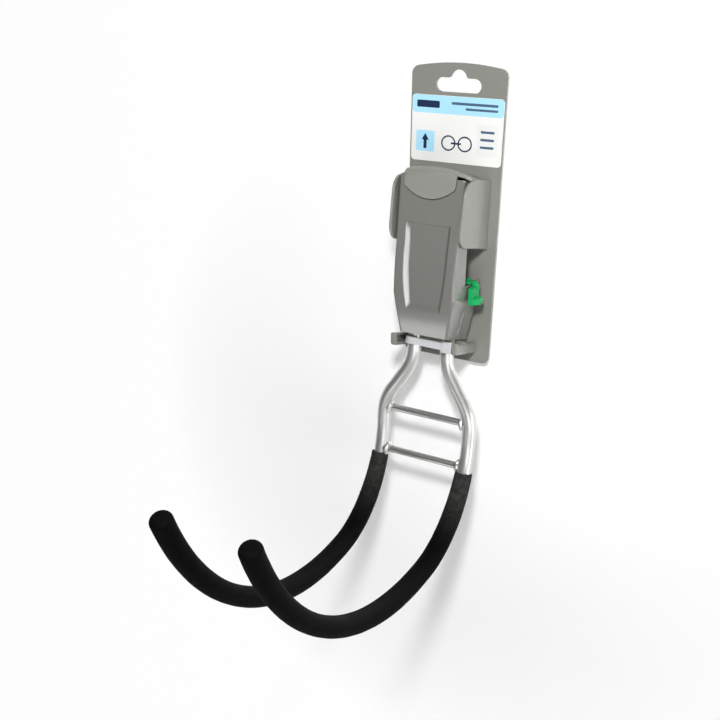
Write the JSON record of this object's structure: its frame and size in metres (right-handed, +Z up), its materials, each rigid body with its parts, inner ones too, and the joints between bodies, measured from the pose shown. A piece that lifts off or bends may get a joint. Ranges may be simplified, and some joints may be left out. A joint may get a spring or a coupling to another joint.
{
  "type": "double bike hook",
  "caption": "Garage bike hook with J-shaped arms in soft sleeves, welded crossbars and a rail-mount housing with a sliding lock, strapped to a moulded hanger plate.",
  "frame": {"origin": "middle of the hanging slot on the plate's back face", "axes": "+X to the viewer's right, +Y into the wall, +Z up; the hooks reach out along -Y"},
  "size_m": [0.0798, 0.3041, 0.3281],
  "materials": {
    "carrier_plastic": "fine satin texture",
    "label_print": "semi-gloss print",
    "housing_plastic": "satin moulding",
    "zinc_steel": "plain zinc",
    "screw_steel": "plain zinc",
    "lock_plastic": "glossy moulding",
    "rod_coat": "satin silver coat",
    "sleeve_rubber": "soft matte",
    "tie_nylon": "ribbed nylon"
  },
  "bodies": {
    "hook": {"carrier_plate": "carrier_plastic", "label_card": "label_print", "housing_cover": "housing_plastic", "mount_bracket": "zinc_steel", "cover_screws": "screw_steel", "left_rod": "rod_coat", "right_rod": "rod_coat", "upper_crossbar": "rod_coat", "lower_crossbar": "rod_coat", "left_sleeve": "sleeve_rubber", "right_sleeve": "sleeve_rubber", "tie_strap": "tie_nylon"},
    "lock": {"lock_slide": "lock_plastic"}
  },
  "joints": [
    {"name": "lock_travel", "type": "slide", "parent": "hook", "child": "lock", "axis": [0, 0, 1], "range_m": [0, 0.012]}
  ]
}
